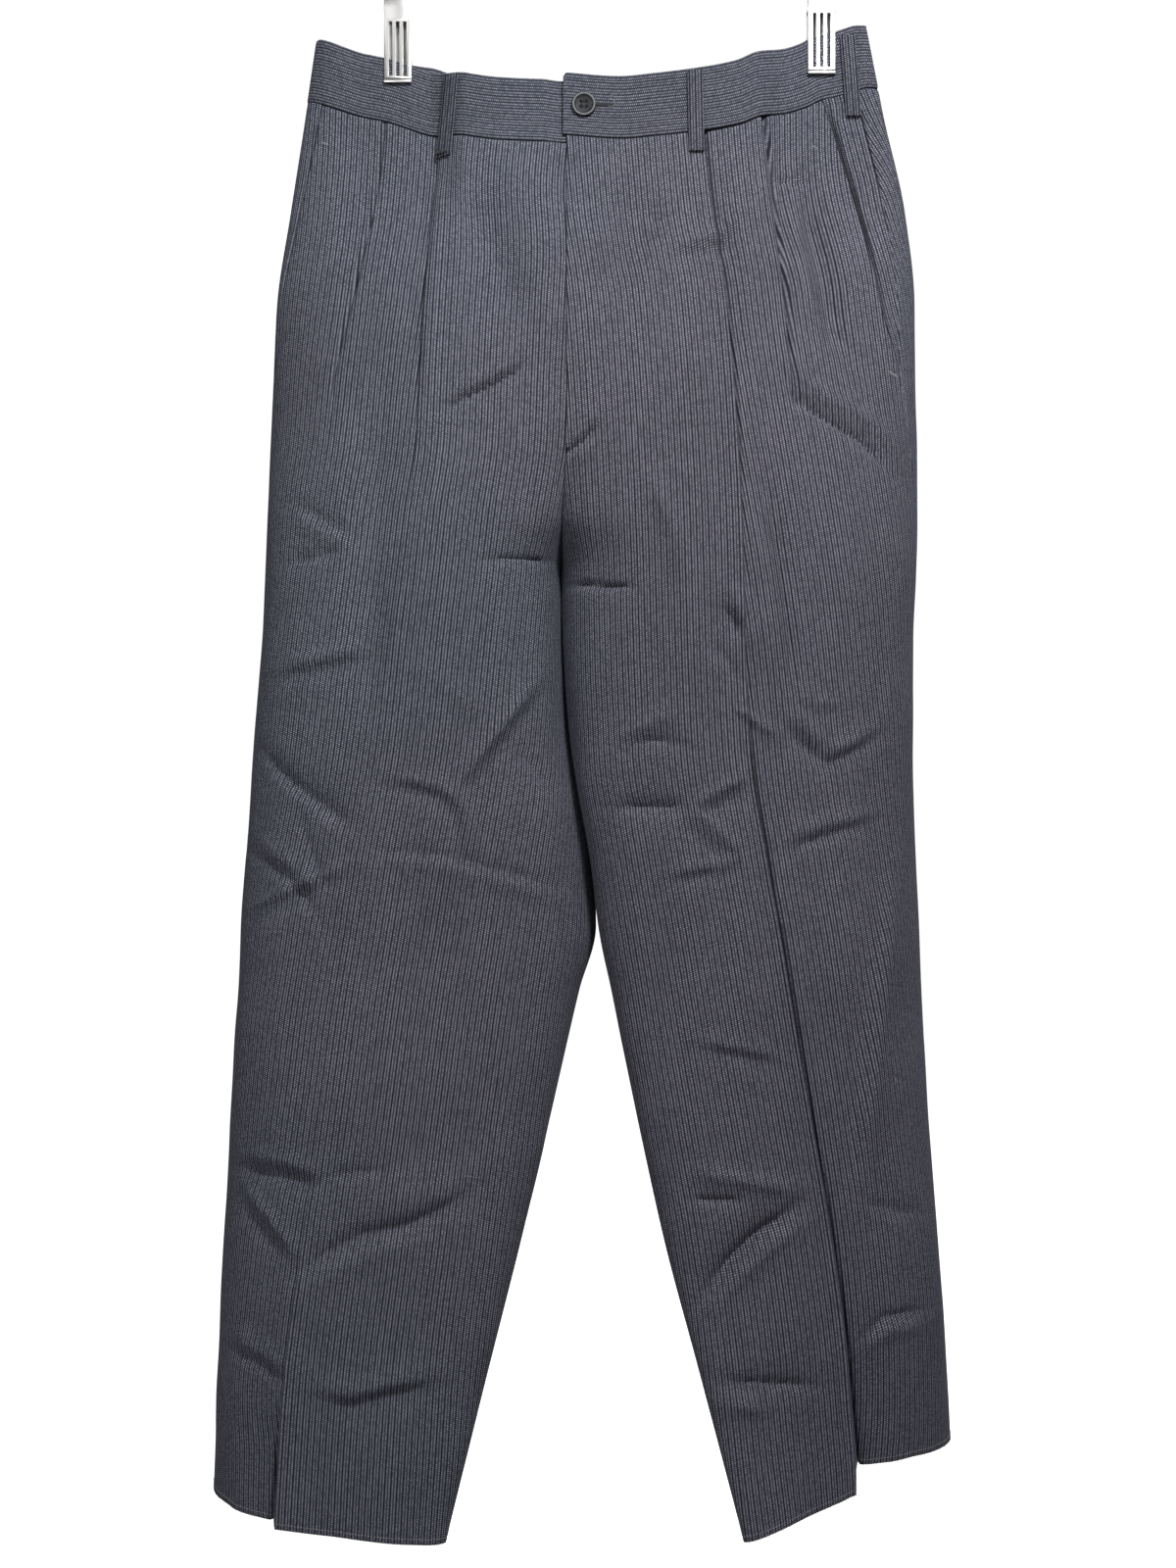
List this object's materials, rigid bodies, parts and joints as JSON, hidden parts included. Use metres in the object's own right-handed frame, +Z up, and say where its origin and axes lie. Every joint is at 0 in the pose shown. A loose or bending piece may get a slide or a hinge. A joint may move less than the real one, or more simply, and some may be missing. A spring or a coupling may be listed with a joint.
{
  "type": "trousers on a clip hanger",
  "caption": "Striped pleated dress trousers with slant pockets, belt loops and a buttoned waistband, hanging by the waistband from the clips of a metal hanger.",
  "frame": {"origin": "the inner top of the hanger's hook, where a rail carries it", "axes": "+Z up, -Y out of the front of the trousers, +X towards the wearer's left"},
  "size_m": [0.4893, 0.1419, 1.0884],
  "materials": {
    "cloth": "matt striped suiting",
    "button": "polished",
    "plated_steel": "bright plated"
  },
  "bodies": {
    "root": {"front_panel_right": "cloth", "front_panel_left": "cloth", "back_panel_right": "cloth", "back_panel_left": "cloth", "pocket_facing_right": "cloth", "pocket_facing_left": "cloth", "waistband_right": "cloth", "waistband_left": "cloth", "belt_loop_front_right": "cloth", "belt_loop_front_left": "cloth", "belt_loop_side_right": "cloth", "belt_loop_side_left": "cloth", "belt_loop_back_right": "cloth", "belt_loop_back_left": "cloth", "waist_button": "button", "hanger_bar": "plated_steel", "hanger_hook": "plated_steel", "hanger_clip_right": "plated_steel", "hanger_clip_left": "plated_steel"}
  },
  "joints": []
}
